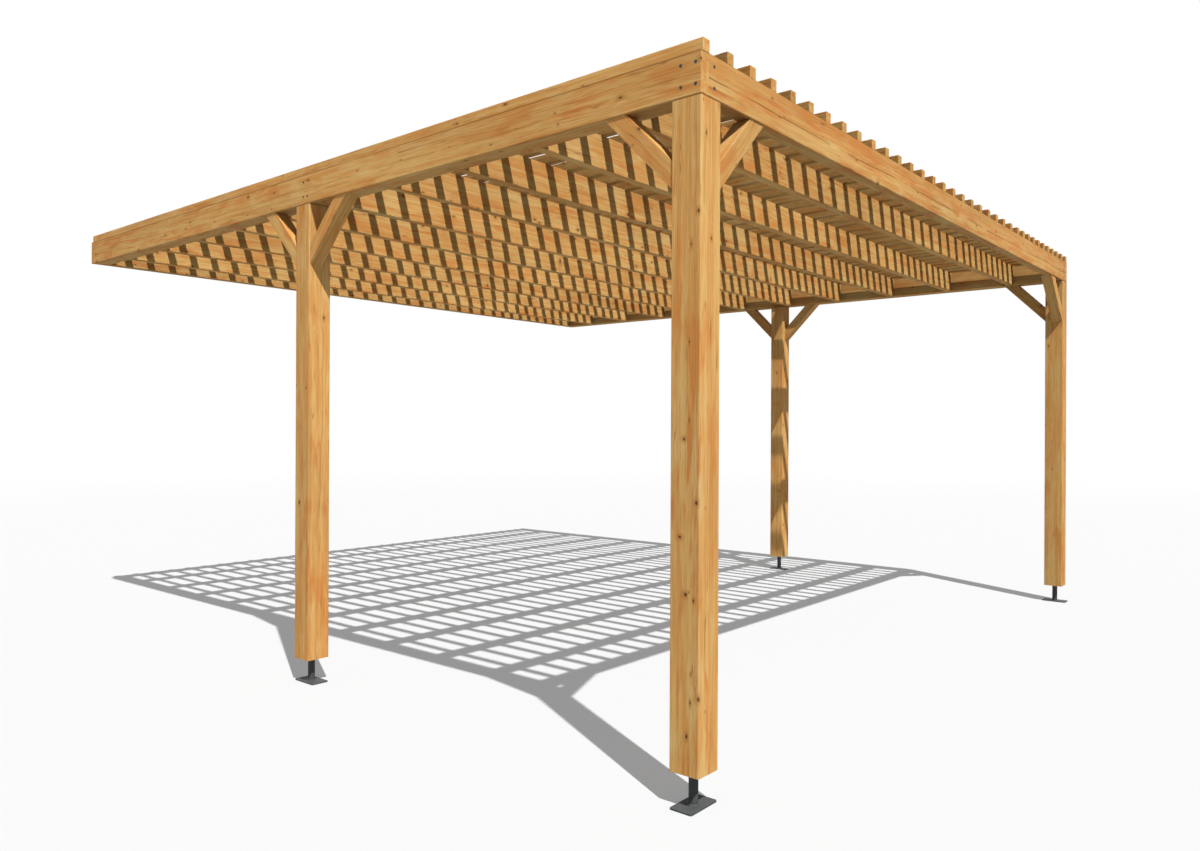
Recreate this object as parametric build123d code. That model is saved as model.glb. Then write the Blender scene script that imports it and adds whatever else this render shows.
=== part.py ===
"""Wooden pergola: four posts on steel feet carry a flat roof of beams, joists and battens.

Millimetres, +Z up. X runs along the front and Y from the front to the rear.
The origin is on the ground, in the middle of the part's outline.
"""
import math
import os

from build123d import *

# Roof and post layout
WIDTH = 4960.0  # over the outer faces of the two side beams
DEPTH = 5000.0  # from the front beam's face to the rear beam's face
BEAM_UNDERSIDE = 2400.0  # height of the beams' underside over the ground
REAR_POST_SETBACK = 2320.0  # from the front beam's face to the front of a rear post

# Posts, with a tenon that enters the side beam outside its housings
POST_SECTION = 120.0
TENON_INSET = 15.0  # from the post's front and rear faces to the tenon
TENON_SHARE = 0.5  # of the timber that the housings leave whole
MORTISE_COVER = 15.0  # timber left in the beam over the mortise
MORTISE_CLEARANCE = 0.5  # on each side of the tenon
MORTISE_HEADROOM = 5.0  # over the tenon

# Beams, all of one depth
BEAM_DEPTH = 145.0
SIDE_BEAM_THICKNESS = 100.0
CROSS_BEAM_THICKNESS = 60.0  # front beam and rear beam
HOUSING_DEPTH = 55.0  # how far joists and cross beams are let into the side beams
HOUSING_CLEARANCE = 0.5  # beside each piece that is let in

# Joists
JOIST_THICKNESS = 45.0
JOIST_COUNT = 10
END_JOIST_INSET = 375.0  # from the roof's front or rear face to the middle of the nearest joist

# Battens, at an even pitch from the left and closer together over the last stretch
BATTEN_WIDTH = 40.0
BATTEN_HEIGHT = 45.0
BATTEN_COUNT = 35
BATTEN_INSET = 10.0  # from a side beam's outer face to the outermost batten
CLOSE_BATTENS = 10  # how many stand at the closer pitch
CLOSE_SHARE = 0.82  # of the other battens' pitch
BATTENS_PER_GROUP = 5

# Braces at 45 degrees
BRACE_SECTION = 70.0
BRACE_REACH = 303.0  # from the post's face to the far end of the brace's cut under the beam
BRACE_SETBACK = 5.0  # from the post's outer face to the brace's

# Steel feet
FOOT_HEIGHT = 120.0  # from the ground to the post's underside
PLATE_LENGTH = 160.0
PLATE_WIDTH = 90.0
PLATE_THICKNESS = 6.0
PLATE_CORNER = 8.0
TUBE_DIAMETER = 33.7
TUBE_WALL = 3.0
TUBE_REACH = 150.0  # length of tube inside the post
TUBE_CLEARANCE = 0.3  # round the tube in the post's bore

# Counterbored seats for the heads of the bolts that hold the posts and the front beam
BOLT_SEAT_DIAMETER = 14.0
BOLT_SEAT_DEPTH = 5.0
BOLT_ROW = 36.0  # from the beam's underside to the lower bolts, and from its top to the upper ones
CORNER_BOLTS = (24.0, 84.0)  # along a side beam, from its front end
POST_BOLTS = (22.0, 57.0)  # along a side beam, from the front of a rear post
FRONT_BOLTS = 79.0  # along the front beam, from the outer face of a side beam

# Arris taken off the edges of the timber
EASED_EDGE = 3.0  # posts, beams and joists
FINE_EASED_EDGE = 1.5  # braces and battens

# Places that follow from the sizes above. A foot's plate reaches past the roof at one corner each way.
PLATE_OVERHANG = max(0.0, (PLATE_LENGTH - POST_SECTION) / 2)
LEFT = -(WIDTH - PLATE_OVERHANG) / 2
RIGHT = LEFT + WIDTH
FRONT = -(DEPTH - PLATE_OVERHANG) / 2
REAR = FRONT + DEPTH
BEAM_TOP = BEAM_UNDERSIDE + BEAM_DEPTH
WHOLE_TIMBER = SIDE_BEAM_THICKNESS - HOUSING_DEPTH
HOUSED_LEFT = LEFT + WHOLE_TIMBER
HOUSED_RIGHT = RIGHT - WHOLE_TIMBER


def block(low, high):
    """A plain box between its lowest and highest corners."""
    size = [b - a for a, b in zip(low, high)]
    middle = [(a + b) / 2 for a, b in zip(low, high)]
    return Pos(*middle) * Box(*size)


def beam_timber(low, high):
    """A beam or joist, with all its edges eased but the upper ones, which lie under the battens."""
    bottom, upright, top = block(low, high).edges().group_by(Axis.Z)
    return chamfer(bottom + upright, EASED_EDGE)


def side_span(side, thickness):
    """The range in X of a piece that lies flush with the outer face of one side."""
    if side == "left":
        return LEFT, LEFT + thickness
    return RIGHT - thickness, RIGHT


def post_front(row):
    """The front face of a post in Y."""
    return FRONT if row == "front" else FRONT + REAR_POST_SETBACK


def post_middle(side, row):
    """The post's axis in plan."""
    x_low, x_high = side_span(side, POST_SECTION)
    return (x_low + x_high) / 2, post_front(row) + POST_SECTION / 2


def tenon_box(side, row, clearance, headroom):
    """The tenon of one post, or with clearance and headroom the mortise that takes it."""
    x_low, x_high = side_span(side, WHOLE_TIMBER)
    x = (x_low + x_high) / 2
    half_x = WHOLE_TIMBER * TENON_SHARE / 2 + clearance
    y_low = post_front(row) + TENON_INSET - clearance
    y_high = post_front(row) + POST_SECTION - TENON_INSET + clearance
    top = BEAM_TOP - MORTISE_COVER - MORTISE_HEADROOM + headroom
    return block((x - half_x, y_low, BEAM_UNDERSIDE), (x + half_x, y_high, top))


def post(side, row):
    """A square post: shoulder and tenon at the top, a bore for the foot's tube at the bottom."""
    x_low, x_high = side_span(side, POST_SECTION)
    y_low = post_front(row)
    low = (x_low, y_low, FOOT_HEIGHT)
    high = (x_high, y_low + POST_SECTION, BEAM_UNDERSIDE)
    bore_radius = TUBE_DIAMETER / 2 + TUBE_CLEARANCE
    x, y = post_middle(side, row)
    bore = Pos(x, y, FOOT_HEIGHT + TUBE_REACH / 2) * Cylinder(bore_radius, TUBE_REACH)
    timber = chamfer(block(low, high).edges().filter_by(Axis.Z), EASED_EDGE)
    return timber + tenon_box(side, row, 0.0, 0.0) - bore


def foot(side, row):
    """A welded steel foot: a flat plate on the ground and a tube that enters the post."""
    plate = extrude(RectangleRounded(PLATE_LENGTH, PLATE_WIDTH, PLATE_CORNER), PLATE_THICKNESS)
    tube_height = FOOT_HEIGHT + TUBE_REACH - PLATE_THICKNESS
    ring = Circle(TUBE_DIAMETER / 2) - Circle(TUBE_DIAMETER / 2 - TUBE_WALL)
    tube = Pos(0, 0, PLATE_THICKNESS) * extrude(ring, tube_height)
    # The front left plate lies along the front, and the others lie along the sides.
    turn = 0 if (side, row) == ("left", "front") else 90
    x, y = post_middle(side, row)
    return Pos(x, y, 0) * Rot(0, 0, turn) * (plate + tube)


def joist_middles():
    """The middle of each joist in Y."""
    first = FRONT + END_JOIST_INSET
    pitch = (DEPTH - 2 * END_JOIST_INSET) / (JOIST_COUNT - 1)
    return [first + n * pitch for n in range(JOIST_COUNT)]


def bolt_seat(x, y, z, turn):
    """A counterbore whose open end is centred at a point on a timber's face, turned to lie square to it."""
    return Pos(x, y, z) * turn * Cylinder(BOLT_SEAT_DIAMETER / 2, 2 * BOLT_SEAT_DEPTH)


def side_bolt_seats(side):
    """The seats in a side beam's outer face, over the front post and over the rear post."""
    x = LEFT if side == "left" else RIGHT
    low, high = BEAM_UNDERSIDE + BOLT_ROW, BEAM_TOP - BOLT_ROW
    places = [(FRONT + y, z) for y in CORNER_BOLTS for z in (low, high)]
    first, second = [post_front("rear") + y for y in POST_BOLTS]
    places += [(first, low), (second, low), (second, high)]
    return [bolt_seat(x, y, z, Rot(0, 90, 0)) for y, z in places]


def side_beam(side):
    """A beam over the full depth: mortises below, housings in its inner face, bolt seats in the outer one."""
    x_low, x_high = side_span(side, SIDE_BEAM_THICKNESS)
    beam = beam_timber((x_low, FRONT, BEAM_UNDERSIDE), (x_high, REAR, BEAM_TOP))
    for row in ("front", "rear"):
        beam -= tenon_box(side, row, MORTISE_CLEARANCE, MORTISE_HEADROOM)
    if side == "left":
        cut_low, cut_high = HOUSED_LEFT, x_high
    else:
        cut_low, cut_high = x_low, HOUSED_RIGHT
    half = JOIST_THICKNESS / 2 + HOUSING_CLEARANCE
    spans = [(y - half, y + half) for y in joist_middles()]
    spans.append((FRONT, FRONT + CROSS_BEAM_THICKNESS + HOUSING_CLEARANCE))
    spans.append((REAR - CROSS_BEAM_THICKNESS - HOUSING_CLEARANCE, REAR))
    for y_low, y_high in spans:
        beam -= block((cut_low, y_low, BEAM_UNDERSIDE), (cut_high, y_high, BEAM_TOP))
    return beam - side_bolt_seats(side)


def cross_piece(y_low, y_high):
    """A beam or joist across the roof, let into both side beams."""
    low = (HOUSED_LEFT, y_low, BEAM_UNDERSIDE)
    high = (HOUSED_RIGHT, y_high, BEAM_TOP)
    return beam_timber(low, high)


def front_beam():
    """The beam over the front posts, bolted to the side beams behind it."""
    heights = (BEAM_UNDERSIDE + BOLT_ROW, BEAM_TOP - BOLT_ROW)
    ends = (LEFT + FRONT_BOLTS, RIGHT - FRONT_BOLTS)
    seats = [bolt_seat(x, FRONT, z, Rot(90, 0, 0)) for x in ends for z in heights]
    return cross_piece(FRONT, FRONT + CROSS_BEAM_THICKNESS) - seats


def brace(corner, run, inwards):
    """A brace cut to fit under a beam and against a post.

    corner is where the outer faces of the two meet, run points along the beam
    and inwards points away from their outer faces.
    """
    cut = BRACE_SECTION * math.sqrt(2)
    inner = corner + inwards * BRACE_SETBACK
    down = Vector(0, 0, -1)
    outline = [
        inner + run * (BRACE_REACH - cut),
        inner + run * BRACE_REACH,
        inner + down * BRACE_REACH,
        inner + down * (BRACE_REACH - cut),
    ]
    face = make_face(Polyline(*outline, close=True))
    sawn = extrude(face, BRACE_SECTION, dir=inwards)
    along_grain = Axis(corner, run - down)
    return chamfer(sawn.edges().filter_by(along_grain), FINE_EASED_EDGE)


def side_brace(side, row, towards):
    """A brace under a side beam, on the front or the rear face of a post."""
    x = LEFT if side == "left" else RIGHT
    inwards = Vector(1, 0, 0) if side == "left" else Vector(-1, 0, 0)
    if towards == "rear":
        corner = Vector(x, post_front(row) + POST_SECTION, BEAM_UNDERSIDE)
        return brace(corner, Vector(0, 1, 0), inwards)
    corner = Vector(x, post_front(row), BEAM_UNDERSIDE)
    return brace(corner, Vector(0, -1, 0), inwards)


def front_brace(side):
    """A brace under the front beam, on the inner face of a front post."""
    if side == "left":
        corner = Vector(LEFT + POST_SECTION, FRONT, BEAM_UNDERSIDE)
        return brace(corner, Vector(1, 0, 0), Vector(0, 1, 0))
    corner = Vector(RIGHT - POST_SECTION, FRONT, BEAM_UNDERSIDE)
    return brace(corner, Vector(-1, 0, 0), Vector(0, 1, 0))


def batten_steps():
    """How far each batten stands to the right of the first, counted in pitches."""
    even_steps = BATTEN_COUNT - 1 - CLOSE_BATTENS
    even = [float(n) for n in range(even_steps + 1)]
    return even + [even_steps + n * CLOSE_SHARE for n in range(1, CLOSE_BATTENS + 1)]


def battens():
    """All the battens, from the left to the right."""
    steps = batten_steps()
    pitch = (WIDTH - 2 * BATTEN_INSET - BATTEN_WIDTH) / steps[-1]
    pieces = []
    for step in steps:
        x = LEFT + BATTEN_INSET + step * pitch
        low = (x, FRONT, BEAM_TOP)
        high = (x + BATTEN_WIDTH, REAR, BEAM_TOP + BATTEN_HEIGHT)
        pieces.append(chamfer(block(low, high).edges(), FINE_EASED_EDGE))
    return pieces


def all_nodes():
    """Every node by its name."""
    nodes = {}
    for row in ("front", "rear"):
        for side in ("left", "right"):
            nodes[f"foot_{row}_{side}"] = foot(side, row)
            nodes[f"post_{row}_{side}"] = post(side, row)
    for side in ("left", "right"):
        nodes[f"side_beam_{side}"] = side_beam(side)
    nodes["front_beam"] = front_beam()
    nodes["rear_beam"] = cross_piece(REAR - CROSS_BEAM_THICKNESS, REAR)
    for side in ("left", "right"):
        nodes[f"brace_front_beam_{side}"] = front_brace(side)
        nodes[f"brace_front_post_{side}"] = side_brace(side, "front", "rear")
        nodes[f"brace_rear_post_{side}_forward"] = side_brace(side, "rear", "front")
        nodes[f"brace_rear_post_{side}_rearward"] = side_brace(side, "rear", "rear")
    for n, y in enumerate(joist_middles(), start=1):
        nodes[f"joist_{n:02d}"] = cross_piece(y - JOIST_THICKNESS / 2, y + JOIST_THICKNESS / 2)
    pieces = battens()
    for n, start in enumerate(range(0, BATTEN_COUNT, BATTENS_PER_GROUP), start=1):
        nodes[f"roof_battens_{n}"] = Compound(children=pieces[start:start + BATTENS_PER_GROUP])
    return nodes


os.makedirs("parts", exist_ok=True)
for name, shape in all_nodes().items():
    export_step(shape, f"parts/{name}.step")
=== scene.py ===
import math
import random

import bpy
from mathutils import Matrix, Vector


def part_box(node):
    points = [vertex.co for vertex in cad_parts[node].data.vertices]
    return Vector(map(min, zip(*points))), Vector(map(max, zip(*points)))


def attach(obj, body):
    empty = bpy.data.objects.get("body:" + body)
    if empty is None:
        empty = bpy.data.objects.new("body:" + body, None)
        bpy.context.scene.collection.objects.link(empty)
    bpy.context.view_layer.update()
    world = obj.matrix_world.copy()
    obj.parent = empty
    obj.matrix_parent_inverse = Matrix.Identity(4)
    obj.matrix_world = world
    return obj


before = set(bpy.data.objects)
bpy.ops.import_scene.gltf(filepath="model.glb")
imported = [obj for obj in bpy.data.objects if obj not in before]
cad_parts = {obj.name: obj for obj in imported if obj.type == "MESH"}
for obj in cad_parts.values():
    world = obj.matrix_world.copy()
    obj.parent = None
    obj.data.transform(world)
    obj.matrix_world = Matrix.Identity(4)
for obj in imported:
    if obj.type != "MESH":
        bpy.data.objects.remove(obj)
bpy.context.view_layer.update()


# Steel feet. Each is a flat plate with a round tube welded upright on it, coated dark grey.
# The tube goes up into the post, so only its lower part shows between plate and timber.
# A ripple of weld runs round the tube where it meets the plate.
STEEL_GREY = (0.098, 0.104, 0.104)
STEEL_DUST = (0.130, 0.130, 0.125)
STEEL_SPECULAR = 0.12
GRIT_HEIGHT = 0.0004
FEET = ["foot_front_left", "foot_front_right", "foot_rear_left", "foot_rear_right"]


def add_node(tree, kind, place, **settings):
    node = tree.nodes.new(kind)
    node.location = place
    for key, value in settings.items():
        setattr(node, key, value)
    return node


def feed(tree, node, **sockets):
    """Sets a node's inputs by name, or by place as in in0: a socket is linked, a value is written."""
    for key, value in sockets.items():
        by_place = key.startswith("in") and key[2:].isdigit()
        target = node.inputs[int(key[2:])] if by_place else node.inputs[key]
        if isinstance(value, bpy.types.NodeSocket):
            tree.links.new(value, target)
        else:
            target.default_value = value


def coated_steel():
    material = bpy.data.materials.new("coated_steel")
    material.use_nodes = True
    tree = material.node_tree
    shader = tree.nodes["Principled BSDF"]
    place = add_node(tree, "ShaderNodeTexCoord", (-1200, 0))
    grit = add_node(tree, "ShaderNodeTexNoise", (-900, 200))
    feed(tree, grit, Vector=place.outputs["Object"], Scale=900.0, Detail=2.0)
    cloud = add_node(tree, "ShaderNodeTexNoise", (-900, -100))
    feed(tree, cloud, Vector=place.outputs["Object"], Scale=28.0, Detail=4.0)
    dust = add_node(tree, "ShaderNodeMapRange", (-650, -100))
    feed(tree, dust, Value=cloud.outputs["Fac"], in1=0.45, in2=0.75, in3=0.0, in4=0.6)
    colour = add_node(tree, "ShaderNodeMix", (-400, 0), data_type="RGBA")
    feed(tree, colour, Factor=dust.outputs["Result"], in6=(*STEEL_GREY, 1), in7=(*STEEL_DUST, 1))
    rough = add_node(tree, "ShaderNodeMapRange", (-400, -300))
    feed(tree, rough, Value=cloud.outputs["Fac"], in1=0.3, in2=0.7, in3=0.45, in4=0.62)
    bump = add_node(tree, "ShaderNodeBump", (-300, 300))
    feed(tree, bump, Height=grit.outputs["Fac"], Strength=0.25, Distance=GRIT_HEIGHT)
    feed(tree, shader, Roughness=rough.outputs["Result"], Normal=bump.outputs["Normal"])
    tree.links.new(colour.outputs[2], shader.inputs["Base Color"])
    shader.inputs["Specular IOR Level"].default_value = STEEL_SPECULAR
    return material


def dress(node, material):
    """Gives a CAD node its finish."""
    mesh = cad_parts[node].data
    mesh.materials.clear()
    mesh.materials.append(material)


steel = coated_steel()
for foot in FEET:
    dress(foot, steel)

TUBE_RADIUS = 0.0337 / 2
PLATE_TOP = 0.006
BEAD_RADIUS = 0.004
BEAD_STEPS = 48
BEAD_SIDES = 10
BEAD_RIPPLE = 0.0007


def weld_bead(foot):
    """A ring round the foot's tube, with every second step of it swollen a little."""
    low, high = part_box(foot)
    middle = ((low.x + high.x) / 2, (low.y + high.y) / 2, PLATE_TOP)
    bpy.ops.object.select_all(action="DESELECT")
    bpy.ops.mesh.primitive_torus_add(
        location=middle, major_radius=TUBE_RADIUS + BEAD_RADIUS / 3, minor_radius=BEAD_RADIUS,
        major_segments=BEAD_STEPS, minor_segments=BEAD_SIDES)
    bead = bpy.context.object
    bead.name = f"weld_{foot}"
    bpy.ops.object.transform_apply(location=True)
    for vertex in bead.data.vertices:
        flat = Vector((vertex.co.x - middle[0], vertex.co.y - middle[1]))
        step = round(math.atan2(flat.y, flat.x) / math.tau * BEAD_STEPS)
        vertex.select = step % 2 == 0
    bpy.ops.object.mode_set(mode="EDIT")
    bpy.ops.mesh.select_mode(type="VERT")
    bpy.ops.transform.shrink_fatten(value=BEAD_RIPPLE)
    bpy.ops.object.mode_set(mode="OBJECT")
    bpy.ops.object.shade_smooth()
    bead.data.materials.append(steel)
    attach(bead, "root")


for foot in FEET:
    weld_bead(foot)


# Posts. Each is one length of sawn softwood, square in section with its long edges eased.
# A tenon at its top enters the side beam, and the tube of the foot goes into its lower end.
# The grain runs upwards: honey-coloured wood with redder streaks, thin dark lines and small knots.
PALE_WOOD = (0.930, 0.610, 0.240)
YELLOW_WOOD = (0.900, 0.545, 0.190)
HONEY_WOOD = (0.835, 0.405, 0.118)
RED_WOOD = (0.800, 0.290, 0.072)
LATE_WOOD = (0.560, 0.225, 0.058)
DARK_LINE = (0.310, 0.112, 0.032)
KNOT_HEART = (0.090, 0.038, 0.016)
RING_WIDTH = 0.0085
KNOTS_PER_METRE = 3.0
KNOTS_PER_RADIAN = 1.1
KNOT_RARITY = 0.45
KNOT_SMALLEST = 0.0016
KNOT_LARGEST = 0.0048
KNOT_STRETCH = 0.45
KNOT_SWIRL = 0.006
WANDER = (0.0, 0.050, 0.050)
RIPPLE = (0.0, 0.010, 0.010)
SHADE_LINE_BAND = (-0.0055, -0.0025)


def softwood_grain():
    """A solid texture of a tree trunk: rings round its heart, with streaks and fibres along it and knots across."""
    group = bpy.data.node_groups.new("softwood_grain", "ShaderNodeTree")
    for name, kind in (("Place", "NodeSocketVector"), ("Heart", "NodeSocketVector"), ("Length", "NodeSocketFloat"),
                       ("Tone", "NodeSocketFloat"), ("End", "NodeSocketFloat"), ("Check", "NodeSocketFloat"),
                       ("Stain", "NodeSocketFloat"), ("Joint", "NodeSocketFloat")):
        group.interface.new_socket(name, in_out="INPUT", socket_type=kind)
    for name, kind in (("Color", "NodeSocketColor"), ("Roughness", "NodeSocketFloat"), ("Height", "NodeSocketFloat")):
        group.interface.new_socket(name, in_out="OUTPUT", socket_type=kind)
    given = add_node(group, "NodeGroupInput", (-2200, 0))
    result = add_node(group, "NodeGroupOutput", (1400, 0))

    def maths(operation, a, b=0.0, c=0.0):
        node = add_node(group, "ShaderNodeMath", (0, 0), operation=operation)
        feed(group, node, in0=a, in1=b, in2=c)
        return node.outputs[0]

    def vectors(operation, a, b=(0, 0, 0)):
        node = add_node(group, "ShaderNodeVectorMath", (0, 0), operation=operation)
        feed(group, node, in0=a, in1=b)
        return node.outputs["Value" if operation == "LENGTH" else "Vector"]

    def noise(along, across, detail, roughness=0.5, output="Fac"):
        stretched = vectors("MULTIPLY", laid, (along, across, across))
        node = add_node(group, "ShaderNodeTexNoise", (0, 0))
        feed(group, node, Vector=stretched, Scale=1.0, Detail=detail, Roughness=roughness)
        return node.outputs[output]

    def spread(value, low, high, to_low=0.0, to_high=1.0):
        node = add_node(group, "ShaderNodeMapRange", (0, 0), interpolation_type="SMOOTHSTEP")
        feed(group, node, in0=value, in1=low, in2=high, in3=to_low, in4=to_high)
        return node.outputs[0]

    def blend(factor, a, b, kind="MIX"):
        node = add_node(group, "ShaderNodeMix", (0, 0), data_type="RGBA", blend_type=kind)
        feed(group, node, in0=factor, in6=a, in7=b)
        return node.outputs[2]

    def parts(vector):
        node = add_node(group, "ShaderNodeSeparateXYZ", (0, 0))
        feed(group, node, in0=vector)
        return node.outputs

    start = add_node(group, "ShaderNodeCombineXYZ", (-2000, -200))
    feed(group, start, in0=given.outputs["Length"])
    laid = place = vectors("ADD", given.outputs["Place"], start.outputs[0])

    # The grain wanders along the timber, and all that follows is laid along it.
    wander = vectors("SUBTRACT", noise(0.7, 4.0, 2.0, output="Color"), (0.5, 0.5, 0.5))
    ripple = vectors("SUBTRACT", noise(3.0, 16.0, 2.0, output="Color"), (0.5, 0.5, 0.5))
    bent = vectors("ADD", vectors("MULTIPLY", wander, WANDER), vectors("MULTIPLY", ripple, RIPPLE))
    laid = vectors("ADD", place, bent)
    moved = vectors("SUBTRACT", laid, given.outputs["Heart"])
    radius = vectors("LENGTH", vectors("MULTIPLY", moved, (0.0, 1.0, 1.0)))
    angle = maths("ARCTAN2", parts(moved)[2], parts(moved)[1])

    # Knots are branches that start at the heart, so each has a place along the timber and a direction.
    cell = add_node(group, "ShaderNodeCombineXYZ", (-1600, -600))
    feed(group, cell, in0=maths("MULTIPLY", parts(place)[0], KNOTS_PER_METRE),
         in1=maths("MULTIPLY", angle, KNOTS_PER_RADIAN))
    branches = add_node(group, "ShaderNodeTexVoronoi", (-1500, -600), voronoi_dimensions="2D")
    feed(group, branches, Vector=cell.outputs[0], Scale=1.0)
    chance = add_node(group, "ShaderNodeSeparateColor", (-1300, -700))
    feed(group, chance, in0=branches.outputs["Color"])
    aside = vectors("SUBTRACT", cell.outputs[0], branches.outputs["Position"])
    along_gap = maths("MULTIPLY", parts(aside)[0], KNOT_STRETCH / KNOTS_PER_METRE)
    across_gap = maths("MULTIPLY", maths("MULTIPLY", parts(aside)[1], 1 / KNOTS_PER_RADIAN), radius)
    gap = maths("SQRT", maths("ADD", maths("MULTIPLY", along_gap, along_gap),
                              maths("MULTIPLY", across_gap, across_gap)))
    side_grain = maths("SUBTRACT", 1.0, given.outputs["End"])
    has_knot = maths("MULTIPLY", maths("GREATER_THAN", chance.outputs[0], KNOT_RARITY), side_grain)
    reach = maths("DIVIDE", gap, spread(chance.outputs[1], 0.0, 1.0, KNOT_SMALLEST, KNOT_LARGEST))
    knot_heart = maths("MULTIPLY", spread(reach, 1.0, 0.5), has_knot)
    knot_rim = maths("MULTIPLY", spread(reach, 3.2, 0.9), has_knot)
    swirl = maths("MULTIPLY", maths("MULTIPLY", spread(reach, 7.0, 0.8), has_knot), KNOT_SWIRL)

    # Rings differ in strength, and they bend round the knots.
    turns = maths("DIVIDE", maths("ADD", radius, swirl), RING_WIDTH)
    ring = add_node(group, "ShaderNodeValToRGB", (-300, 200))
    stops = ring.color_ramp.elements
    stops[0].color = (0, 0, 0, 1)
    stops[1].color = (0, 0, 0, 1)
    for position, shade in ((0.40, 0.15), (0.78, 0.80), (0.88, 1.0)):
        stops.new(position).color = (shade, shade, shade, 1)
    feed(group, ring, in0=maths("FRACT", turns))
    season = add_node(group, "ShaderNodeTexWhiteNoise", (-300, 400), noise_dimensions="1D")
    feed(group, season, W=maths("FLOOR", turns))
    strength = maths("MULTIPLY", season.outputs["Value"], spread(noise(0.9, 9.0, 2.0), 0.30, 0.70, 0.10, 0.60))
    late = maths("MULTIPLY", ring.outputs["Color"], strength)

    # Yellow and honey bands, pale and redder patches, thin dark streaks and fibres lie along the grain.
    band = spread(noise(1.5, 50.0, 3.0, 0.6), 0.38, 0.62)
    patch = maths("MULTIPLY", spread(noise(4.5, 46.0, 3.0, 0.6), 0.50, 0.68, 0.0, 0.90),
                  spread(noise(1.3, 9.0, 1.0), 0.38, 0.60, 0.20, 1.0))
    cloud = noise(4.2, 13.0, 2.0, 0.55)
    streak = spread(noise(6.0, 210.0, 3.0, 0.6), 0.52, 0.74, 0.0, 0.50)
    dash = spread(noise(6.0, 120.0, 2.0), 0.67, 0.78, 0.0, 0.50)
    fibre = noise(12.0, 650.0, 2.0)
    level = maths("ABSOLUTE", maths("SUBTRACT", noise(1.1, 26.0, 2.0), 0.5))
    line = maths("MULTIPLY", spread(level, 0.010, 0.002), spread(noise(5.0, 20.0, 1.0), 0.56, 0.64, 0.0, 0.55))

    # A broken drying check runs along the faces level with the heart, between redder wood above and paler wood below.
    check = maths("MULTIPLY", spread(maths("ABSOLUTE", parts(moved)[2]), 0.0034, 0.0012),
                  maths("MULTIPLY", spread(noise(2.6, 3.0, 3.0), 0.40, 0.50), given.outputs["Check"]))
    ruddy = maths("MULTIPLY", spread(parts(moved)[2], -0.004, 0.022, 0.0, 0.40), given.outputs["Check"])
    below = maths("ABSOLUTE", maths("ADD", parts(moved)[2], 0.016))
    pale = maths("MULTIPLY", spread(below, 0.018, 0.004, 0.0, 0.60), given.outputs["Check"])

    # The colours are laid over each other from the broadest to the finest.
    lines = maths("MULTIPLY", maths("MAXIMUM", maths("MAXIMUM", line, dash), check), side_grain)
    colour = blend(band, (*YELLOW_WOOD, 1), (*HONEY_WOOD, 1))
    colour = blend(pale, colour, (*YELLOW_WOOD, 1))
    colour = blend(spread(cloud, 0.45, 0.31, 0.0, 0.60), colour, (*PALE_WOOD, 1))
    colour = blend(spread(cloud, 0.53, 0.68, 0.0, 0.62), colour, (*RED_WOOD, 1))
    colour = blend(maths("MAXIMUM", patch, ruddy), colour, (*RED_WOOD, 1))
    colour = blend(streak, colour, (*LATE_WOOD, 1))
    colour = blend(late, colour, (*LATE_WOOD, 1))
    colour = blend(lines, colour, (*DARK_LINE, 1))

    # Painted shade: a broken dark line lies on the faces close under an upper edge, and a painted shadow line runs
    # across the timber at a joint.
    edge = maths("SUBTRACT", parts(given.outputs["Place"])[2], given.outputs["Stain"])
    stain = maths("MULTIPLY", spread(edge, *SHADE_LINE_BAND), spread(noise(3.0, 30.0, 3.0), 0.30, 0.50, 0.35, 0.85))
    stain = maths("MULTIPLY", stain, spread(edge, -0.0003, -0.0012))
    top = maths("SUBTRACT", parts(given.outputs["Place"])[0], given.outputs["Joint"])
    colour = blend(maths("MAXIMUM", stain, spread(top, *SHADE_LINE_BAND, 0.0, 0.80)), colour, (*DARK_LINE, 1))

    # Last come the timber's own tone, the fibres and the knots.
    tone = maths("ADD", spread(noise(0.8, 3.5, 2.0), 0.25, 0.75, 0.93, 1.07), given.outputs["Tone"])
    tone = maths("ADD", tone, spread(fibre, 0.25, 0.75, -0.06, 0.06))
    tone = maths("SUBTRACT", tone, maths("MULTIPLY", given.outputs["End"], 0.05))
    shade = add_node(group, "ShaderNodeCombineColor", (600, -200))
    feed(group, shade, in0=tone, in1=tone, in2=tone)
    colour = blend(1.0, colour, shade.outputs[0], "MULTIPLY")
    colour = blend(maths("MULTIPLY", knot_rim, 0.55), colour, (*LATE_WOOD, 1))
    colour = blend(maths("MULTIPLY", knot_heart, 0.85), colour, (*KNOT_HEART, 1))
    dips = maths("MAXIMUM", lines, knot_heart)
    relief = maths("SUBTRACT", maths("ADD", maths("MULTIPLY", fibre, 0.6), maths("MULTIPLY", late, 0.5)), dips)
    feed(group, result, Color=colour, Roughness=spread(fibre, 0.2, 0.8, 0.58, 0.72), Height=relief)
    return group


softwood = softwood_grain()
ALONG_X = (0.0, 0.0, 0.0)
ALONG_Y = (0.0, 0.0, math.pi / 2)
ALONG_Z = (0.0, -math.pi / 2, 0.0)
timber_picks = random.Random(7)
TIMBER_SPECULAR = 0.06
GRAIN_HEIGHT = 0.0012
NEAREST_HEART = 0.035
FARTHEST_HEART = 0.110
TRUNK_STRETCH = 90.0


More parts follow.
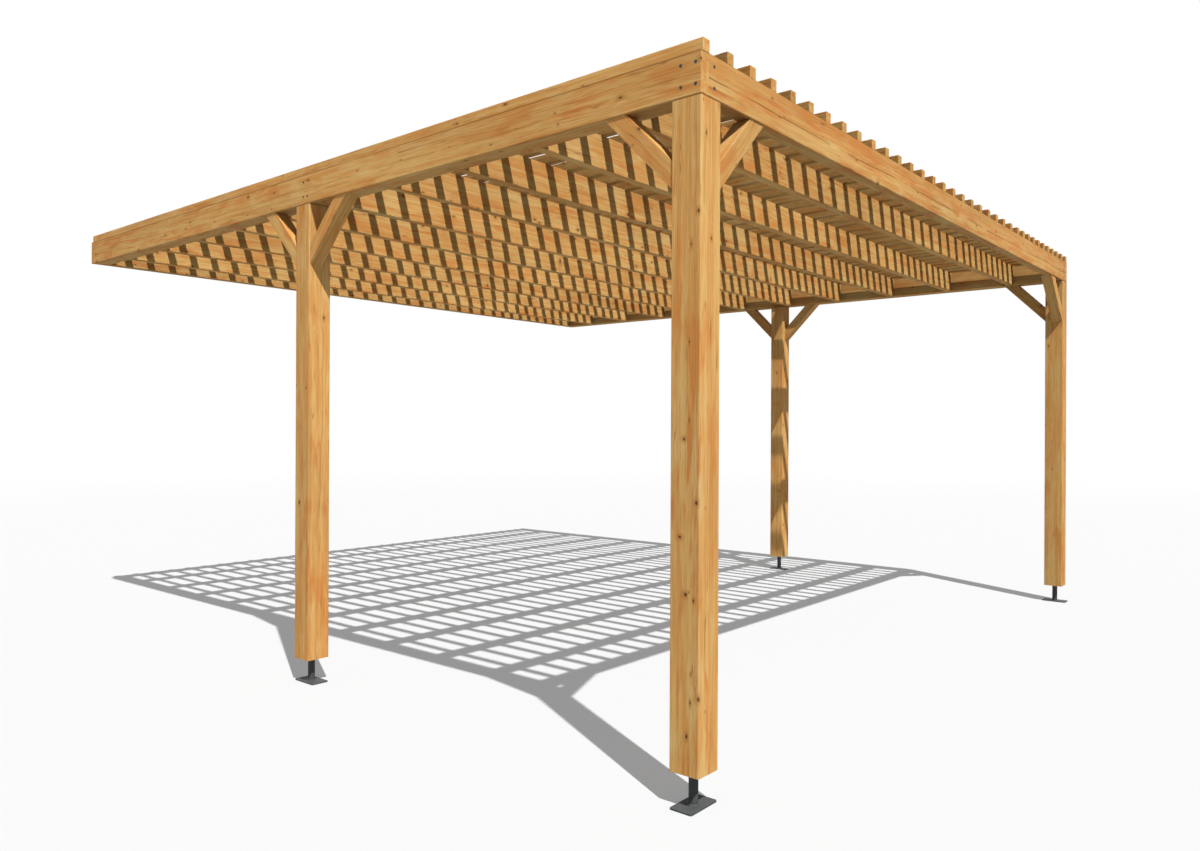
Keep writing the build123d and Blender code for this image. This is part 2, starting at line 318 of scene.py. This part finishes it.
def timber_finish(name, middle, direction, heart=None, check=0.0, tone=None, stain=1.0, joint=9.0):
    """One timber's own finish: which stretch of which tree it was cut from.

    check is how strongly a drying check shows. stain is how high over the middle lies the upper edge with the painted
    shade line under it, and joint how far along from the middle a painted shadow line lies across.
    """
    material = bpy.data.materials.new(f"softwood_{name}")
    material.use_nodes = True
    tree = material.node_tree
    shader = tree.nodes["Principled BSDF"]
    place = add_node(tree, "ShaderNodeTexCoord", (-1300, 0))
    own = add_node(tree, "ShaderNodeMapping", (-1000, 100), vector_type="TEXTURE", name="own_place")
    feed(tree, own, Vector=place.outputs["Object"], Location=tuple(middle), Rotation=direction)
    facing = add_node(tree, "ShaderNodeMapping", (-1000, -300), vector_type="TEXTURE", name="own_facing")
    feed(tree, facing, Vector=place.outputs["Normal"], Rotation=direction)
    parts = add_node(tree, "ShaderNodeSeparateXYZ", (-800, -300))
    feed(tree, parts, in0=facing.outputs[0])
    end = add_node(tree, "ShaderNodeMath", (-600, -300), operation="ABSOLUTE")
    feed(tree, end, in0=parts.outputs[0])
    cut_end = add_node(tree, "ShaderNodeMapRange", (-400, -300))
    feed(tree, cut_end, in0=end.outputs[0], in1=0.80, in2=0.95)
    grain = add_node(tree, "ShaderNodeGroup", (-300, 0), node_tree=softwood, name="grain")
    turn = timber_picks.uniform(0.0, math.tau)
    out = timber_picks.uniform(NEAREST_HEART, FARTHEST_HEART)
    if heart is None:
        heart = (0.0, out * math.cos(turn), out * math.sin(turn))
    if tone is None:
        tone = timber_picks.uniform(-0.05, 0.05)
    feed(tree, grain, Place=own.outputs[0], Heart=heart, Length=timber_picks.uniform(0.0, TRUNK_STRETCH),
         Tone=tone, End=cut_end.outputs[0], Check=check, Stain=stain, Joint=joint)
    bump = add_node(tree, "ShaderNodeBump", (-50, -250))
    feed(tree, bump, Height=grain.outputs["Height"], Strength=0.35, Distance=GRAIN_HEIGHT)
    feed(tree, shader, Roughness=grain.outputs["Roughness"], Normal=bump.outputs["Normal"])
    tree.links.new(grain.outputs["Color"], shader.inputs["Base Color"])
    shader.inputs["Specular IOR Level"].default_value = TIMBER_SPECULAR
    return material


def dress_timber(node, direction, **choices):
    """Gives a CAD node a timber's finish, with the grain laid from its middle."""
    low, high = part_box(node)
    dress(node, timber_finish(node, (low + high) / 2, direction, **choices))


POST_TONES = {"post_front_left": 0.0, "post_front_right": -0.12, "post_rear_left": 0.0, "post_rear_right": 0.0}
# Each post carries a painted shadow line across, just under the shoulder where the side beam sits on it.
SHOULDER_HEIGHT = 2.400
for post, tone in POST_TONES.items():
    low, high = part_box(post)
    dress_timber(post, ALONG_Z, tone=tone, joint=SHOULDER_HEIGHT - (low.z + high.z) / 2)


# Side beams. Each is one long timber over the full depth, laid on the posts at its side.
# Housings in its inner face take the joists and both cross beams, and mortises take the posts' tenons.
# Drying checks run along the middle of their faces, and a broken painted shade line darkens the faces just under the
# top edge, where the outermost batten lies on it.
BEAM_HALF_DEPTH = 0.0725
BOXED_HEART = (0.0, 0.004, -0.006)
FAINT_CHECK = 0.28
for beam in ("side_beam_left", "side_beam_right"):
    dress_timber(beam, ALONG_Y, heart=BOXED_HEART, check=FAINT_CHECK, tone=0.0, stain=BEAM_HALF_DEPTH)


# Front and rear beams. They lie between the side beams, level with them at top and bottom.
# The front one carries the row of batten ends that shows along the top.
# Both are sawn from the middle of the tree, with a broken line of drying checks along the face.
CLEAR_CHECK = 0.80
CROSS_BEAM_TONE = -0.12
for beam in ("front_beam", "rear_beam"):
    dress_timber(beam, ALONG_X, heart=BOXED_HEART, check=CLEAR_CHECK, tone=CROSS_BEAM_TONE)


# Bolts. Turned steel heads lie in counterbored seats, a little below the face of the timber.
# Over each post they go through the side beam, and at each end of the front beam into the side beam behind it.
# A head is one disc with a rounded rim and a socket for the key.
HEAD_SIDES = 36
HEAD_RADIUS = 0.0062
HEAD_HEIGHT = 0.0045
HEAD_ROUNDING = 0.0016
SOCKET_RADIUS = 0.0028
SOCKET_DEPTH = 0.0020
SEAT_DEPTH = 0.005
BOLT_ROW = 0.036
CORNER_BOLTS = (0.024, 0.084)
POST_BOLTS = (0.022, 0.057)
FRONT_BOLTS = 0.079
BOLT_GREY = (0.085, 0.125, 0.140)


def bolt_steel():
    material = bpy.data.materials.new("bolt_steel")
    material.use_nodes = True
    tree = material.node_tree
    shader = tree.nodes["Principled BSDF"]
    place = add_node(tree, "ShaderNodeTexCoord", (-900, 0))
    cloud = add_node(tree, "ShaderNodeTexNoise", (-650, 0))
    feed(tree, cloud, Vector=place.outputs["Object"], Scale=260.0, Detail=3.0)
    rough = add_node(tree, "ShaderNodeMapRange", (-400, 0))
    feed(tree, rough, Value=cloud.outputs["Fac"], in1=0.3, in2=0.7, in3=0.30, in4=0.50)
    feed(tree, shader, Roughness=rough.outputs["Result"])
    shader.inputs["Base Color"].default_value = (*BOLT_GREY, 1)
    shader.inputs["Metallic"].default_value = 1.0
    return material


def bolt_head():
    """One head at the origin, with its flat underside down."""
    bpy.ops.object.select_all(action="DESELECT")
    bpy.ops.mesh.primitive_cylinder_add(
        vertices=HEAD_SIDES, radius=HEAD_RADIUS, depth=HEAD_HEIGHT, location=(0, 0, HEAD_HEIGHT / 2))
    head = bpy.context.object
    bpy.ops.object.transform_apply(location=True)
    for face in head.data.polygons:
        face.select = face.normal.z > 0.9
    bpy.ops.object.mode_set(mode="EDIT")
    bpy.ops.mesh.select_mode(type="FACE")
    bpy.ops.mesh.bevel(offset=HEAD_ROUNDING, segments=4)
    bpy.ops.object.mode_set(mode="OBJECT")
    for face in head.data.polygons:
        face.select = face.normal.z > 0.99 and face.center.z > HEAD_HEIGHT * 0.99
    bpy.ops.object.mode_set(mode="EDIT")
    bpy.ops.mesh.inset(thickness=HEAD_RADIUS - HEAD_ROUNDING - SOCKET_RADIUS)
    bpy.ops.mesh.extrude_region_move(TRANSFORM_OT_translate={"value": (0, 0, -SOCKET_DEPTH)})
    bpy.ops.object.mode_set(mode="OBJECT")
    bpy.ops.object.shade_smooth_by_angle(angle=math.radians(35))
    return head


def bolt_places():
    """The middle of each seat's floor and the direction in which its bolt faces."""
    places = []
    for side, outwards in (("left", Vector((-1, 0, 0))), ("right", Vector((1, 0, 0)))):
        low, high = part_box(f"side_beam_{side}")
        x = (low.x if side == "left" else high.x) - outwards.x * SEAT_DEPTH
        lower, upper = low.z + BOLT_ROW, high.z - BOLT_ROW
        first, second = [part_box(f"post_rear_{side}")[0].y + y for y in POST_BOLTS]
        rows = [(low.y + y, z) for y in CORNER_BOLTS for z in (lower, upper)]
        rows += [(first, lower), (second, lower), (second, upper)]
        places += [(Vector((x, y, z)), outwards) for y, z in rows]
        end = low.x + FRONT_BOLTS if side == "left" else high.x - FRONT_BOLTS
        places += [(Vector((end, low.y + SEAT_DEPTH, z)), Vector((0, -1, 0))) for z in (lower, upper)]
    return places


zinc = bolt_steel()
master = bolt_head()
for number, (point, outwards) in enumerate(bolt_places(), start=1):
    mesh = master.data.copy()
    mesh.transform(Matrix.Translation(point) @ outwards.to_track_quat("Z", "Y").to_matrix().to_4x4())
    mesh.materials.append(zinc)
    bolt = bpy.data.objects.new(f"bolt_{number:02d}", mesh)
    bpy.context.collection.objects.link(bolt)
    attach(bolt, "root")
bpy.data.objects.remove(master)


# Joists. They are planks on edge across the roof, as deep as the beams.
# Their ends are let into the side beams.
JOIST_COUNT = 10
for number in range(1, JOIST_COUNT + 1):
    dress_timber(f"joist_{number:02d}", ALONG_X)


# Braces. Each is a short square timber at 45 degrees from a post up to a beam, cut to fit both.
# It stands a little behind the outer faces, so that the beam shades its upper end.
RISE = -math.pi / 4
TO_RIGHT, TO_LEFT, TO_REAR, TO_FRONT = 0.0, math.pi, math.pi / 2, -math.pi / 2
BRACES = {
    "brace_front_beam_left": (TO_RIGHT, -0.13),
    "brace_front_beam_right": (TO_LEFT, -0.10),
    "brace_front_post_left": (TO_REAR, 0.06),
    "brace_front_post_right": (TO_REAR, -0.04),
    "brace_rear_post_left_forward": (TO_FRONT, -0.02),
    "brace_rear_post_right_forward": (TO_FRONT, 0.02),
    "brace_rear_post_left_rearward": (TO_REAR, 0.0),
    "brace_rear_post_right_rearward": (TO_REAR, -0.03),
}
for brace, (heading, tone) in BRACES.items():
    dress_timber(brace, (0.0, RISE, heading), tone=tone)


# Roof battens. Slender square timbers lie on the beams and joists from front to rear, with gaps between them.
# They stand closer together towards the right. Each draws its tone at random, from a range set below the other
# timbers' as painted shade; the side faces of all but the outermost are painted darker still as shade, and the
# outermost is painted lighter. One finish serves them all, each cut from another stretch of another tree.
BATTEN_GROUPS = 7
BATTENS_PER_GROUP = 5
BATTEN_WIDTH = 0.040
EVEN_STEPS = 24
# Painted shade: the battens' tones lie below the other timbers', their side faces darker still; the outermost is
# painted lighter.
DARKEST_BATTEN = -0.15
LIGHTEST_BATTEN = -0.03
OUTERMOST_LIGHTER = 0.10
PAINTED_SIDE_SHADE = -0.24
HEART_REACH = 0.09
BATTEN_STRETCH = 97.0


def batten_pitch(group):
    """The distance from one batten to the next in a group whose battens are evenly spaced."""
    low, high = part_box(f"roof_battens_{group}")
    return (high.x - low.x - BATTEN_WIDTH) / (BATTENS_PER_GROUP - 1)


def batten_finish():
    """A timber's finish in which each batten is counted from the left, and its number draws its own wood."""
    low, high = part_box("roof_battens_1")
    middle = Vector((low.x + BATTEN_WIDTH / 2, 0.0, (low.z + high.z) / 2))
    material = timber_finish("roof_battens", middle, ALONG_X)
    tree = material.node_tree
    own, facing, grain = (tree.nodes[name] for name in ("own_place", "own_facing", "grain"))
    facing.inputs["Rotation"].default_value = ALONG_Y

    def maths(operation, a, b=0.0, c=0.0):
        node = add_node(tree, "ShaderNodeMath", (-650, 500), operation=operation)
        feed(tree, node, in0=a, in1=b, in2=c)
        return node.outputs[0]

    across = add_node(tree, "ShaderNodeSeparateXYZ", (-820, 300))
    feed(tree, across, in0=own.outputs[0])
    pitch, close = batten_pitch(1), batten_pitch(BATTEN_GROUPS)
    edge = EVEN_STEPS * pitch
    even_count = maths("DIVIDE", across.outputs[0], pitch)
    close_count = maths("ADD", maths("DIVIDE", maths("SUBTRACT", across.outputs[0], edge), close), EVEN_STEPS)
    number = maths("ROUND", maths("MAXIMUM", even_count, close_count))
    even_place = maths("MULTIPLY", number, pitch)
    close_place = maths("ADD", maths("MULTIPLY", maths("SUBTRACT", number, EVEN_STEPS), close), edge)
    aside = maths("SUBTRACT", across.outputs[0], maths("MINIMUM", even_place, close_place))
    turned = add_node(tree, "ShaderNodeCombineXYZ", (-400, 250))
    feed(tree, turned, in0=across.outputs[1], in1=aside, in2=across.outputs[2])
    draw = add_node(tree, "ShaderNodeTexWhiteNoise", (-500, 650), noise_dimensions="1D")
    feed(tree, draw, W=number)
    heart = add_node(tree, "ShaderNodeMapRange", (-300, 650), data_type="FLOAT_VECTOR")
    feed(tree, heart, Vector=draw.outputs["Color"])
    heart.inputs[9].default_value = (0.0, -HEART_REACH, -HEART_REACH)
    heart.inputs[10].default_value = (0.0, HEART_REACH, HEART_REACH)
    drawn_tone = add_node(tree, "ShaderNodeMapRange", (-300, 850))
    feed(tree, drawn_tone, in0=draw.outputs["Value"], in3=DARKEST_BATTEN, in4=LIGHTEST_BATTEN)
    # Painted shade: the side faces of every batten but the outermost are painted darker, and the outermost is painted
    # lighter as a whole.
    outermost = maths("LESS_THAN", number, 0.5)
    sides = add_node(tree, "ShaderNodeSeparateXYZ", (-820, -500))
    feed(tree, sides, in0=facing.outputs[0])
    side_shade = add_node(tree, "ShaderNodeMapRange", (-500, -500))
    feed(tree, side_shade, in0=maths("ABSOLUTE", sides.outputs[1]), in1=0.80, in2=0.95, in4=PAINTED_SIDE_SHADE)
    side_shade_tone = maths("MULTIPLY", side_shade.outputs[0], maths("SUBTRACT", 1.0, outermost))
    tone = maths("ADD", drawn_tone.outputs[0], side_shade_tone)
    tone = maths("MULTIPLY_ADD", outermost, OUTERMOST_LIGHTER, tone)
    feed(tree, grain, Place=turned.outputs[0], Heart=heart.outputs["Vector"],
         Length=maths("MULTIPLY", draw.outputs["Value"], BATTEN_STRETCH), Tone=tone)
    return material


battens = batten_finish()
for number in range(1, BATTEN_GROUPS + 1):
    dress(f"roof_battens_{number}", battens)


# Studio. A pale floor turns white far off and throws soft light up. A key lamp shines from the front left.
# Low white walls of light stand far off all round, under a dim ceiling.
# The camera stands where the photograph was taken from.
FLOOR_SIZE = 160.0
FLOOR_TINT = (0.86, 0.86, 0.86, 1.0)
FLOOR_FILL = 0.33
FILL_TINT = (0.93, 1.0, 1.0, 1.0)
FLOOR_WHITE = 0.25
WHITE_FROM = 8.0
WHITE_AT = 22.0
FIRST_BOUNCE = 1.5


def seen_directly(tree):
    """1 where the camera, a reflection or clear glass looks at the surface, else 0."""
    path = add_node(tree, "ShaderNodeLightPath", (-900, 0))
    glossy = add_node(tree, "ShaderNodeMath", (-700, 0), operation="MAXIMUM")
    feed(tree, glossy, in0=path.outputs["Is Camera Ray"], in1=path.outputs["Is Glossy Ray"])
    clear = add_node(tree, "ShaderNodeMath", (-500, 0), operation="MAXIMUM")
    feed(tree, clear, in0=glossy.outputs[0], in1=path.outputs["Is Transmission Ray"])
    return clear.outputs[0]


def pale_floor():
    """White where it is seen far off. Where it lights a piece, it gives a soft even light on the first bounce only."""
    material = bpy.data.materials.new("pale_floor")
    material.use_nodes = True
    tree = material.node_tree
    shader = tree.nodes["Principled BSDF"]
    shader.inputs["Roughness"].default_value = 1.0
    shader.inputs["Specular IOR Level"].default_value = 0.0
    shader.inputs["Base Color"].default_value = FLOOR_TINT
    place = add_node(tree, "ShaderNodeTexCoord", (-900, -300))
    away = add_node(tree, "ShaderNodeVectorMath", (-700, -300), operation="LENGTH")
    feed(tree, away, in0=place.outputs["Object"])
    whiter = add_node(tree, "ShaderNodeMapRange", (-500, -300), interpolation_type="SMOOTHSTEP")
    feed(tree, whiter, in0=away.outputs["Value"], in1=WHITE_FROM, in2=WHITE_AT, in3=FLOOR_WHITE)
    white = add_node(tree, "ShaderNodeEmission", (0, -300))
    seen_floor = add_node(tree, "ShaderNodeMixShader", (250, 0))
    feed(tree, seen_floor, in0=whiter.outputs[0], in1=shader.outputs[0], in2=white.outputs[0])
    path = add_node(tree, "ShaderNodeLightPath", (-500, -600))
    first = add_node(tree, "ShaderNodeMath", (-300, -600), operation="LESS_THAN")
    feed(tree, first, in0=path.outputs["Ray Depth"], in1=FIRST_BOUNCE)
    fill_light = add_node(tree, "ShaderNodeMath", (0, -600), operation="MULTIPLY")
    feed(tree, fill_light, in0=first.outputs[0], in1=FLOOR_FILL)
    fill = add_node(tree, "ShaderNodeEmission", (250, -300))
    feed(tree, fill, Color=FILL_TINT, Strength=fill_light.outputs[0])
    surface = add_node(tree, "ShaderNodeMixShader", (700, 0))
    feed(tree, surface, in0=seen_directly(tree), in1=fill.outputs[0], in2=seen_floor.outputs[0])
    tree.links.new(surface.outputs[0], tree.nodes["Material Output"].inputs["Surface"])
    return material


bpy.ops.object.select_all(action="DESELECT")
bpy.ops.mesh.primitive_plane_add(size=FLOOR_SIZE, location=(0.0, 0.0, 0.0))
floor = bpy.context.object
floor.name = "studio_floor"
floor.data.materials.append(pale_floor())

WALL_FILL = 0.95
CEILING_FILL = 0.07
WALL_TOP = 0.20
WALL_FADE = 0.04


def studio_world():
    """White to the eye, with light from low walls and little from the ceiling."""
    world = bpy.data.worlds.new("studio_fill")
    world.cycles.max_bounces = 1
    world.use_nodes = True
    tree = world.node_tree
    outlook = add_node(tree, "ShaderNodeTexCoord", (-900, -300))
    height = add_node(tree, "ShaderNodeSeparateXYZ", (-700, -300))
    feed(tree, height, in0=outlook.outputs["Generated"])
    fill = add_node(tree, "ShaderNodeMapRange", (-500, -300))
    feed(tree, fill, in0=height.outputs["Z"], in1=WALL_TOP - WALL_FADE, in2=WALL_TOP + WALL_FADE,
         in3=WALL_FILL, in4=CEILING_FILL)
    strength = add_node(tree, "ShaderNodeMapRange", (-250, 0))
    feed(tree, strength, in0=seen_directly(tree), in3=fill.outputs[0], in4=1.0)
    feed(tree, tree.nodes["Background"], Color=(1, 1, 1, 1), Strength=strength.outputs[0])
    return world


bpy.context.scene.world = studio_world()

KEY_TRAVEL = Vector((0.285, 0.570, -1.0))
KEY_STRENGTH = 3.75
KEY_SOFTNESS = math.radians(0.6)
bpy.ops.object.light_add(type="SUN", location=(-6.0, -10.0, 14.0))
key = bpy.context.object
key.name = "key_lamp"
key.data.energy = KEY_STRENGTH
key.data.angle = KEY_SOFTNESS
key.data.cycles.max_bounces = 0
key.rotation_euler = KEY_TRAVEL.to_track_quat("-Z", "Y").to_euler()

IMAGE_WIDTH = 1200
SENSOR = 36.0
FOCAL_PIXELS = 900.6
EYE = (-4.9729, -4.1523, 1.2859)
HEADING = math.radians(50.077)
ROLL = math.radians(0.249)
HORIZON_DROP_PIXELS = 2.49
bpy.ops.object.camera_add(location=EYE, rotation=(math.pi / 2, -ROLL, -HEADING))
camera = bpy.context.object
camera.name = "photo_camera"
camera.data.sensor_fit = "HORIZONTAL"
camera.data.sensor_width = SENSOR
camera.data.lens = FOCAL_PIXELS / IMAGE_WIDTH * SENSOR
camera.data.shift_y = HORIZON_DROP_PIXELS / IMAGE_WIDTH
camera.data.clip_end = 300.0
bpy.context.scene.camera = camera
bpy.context.scene.view_settings.view_transform = "Standard"
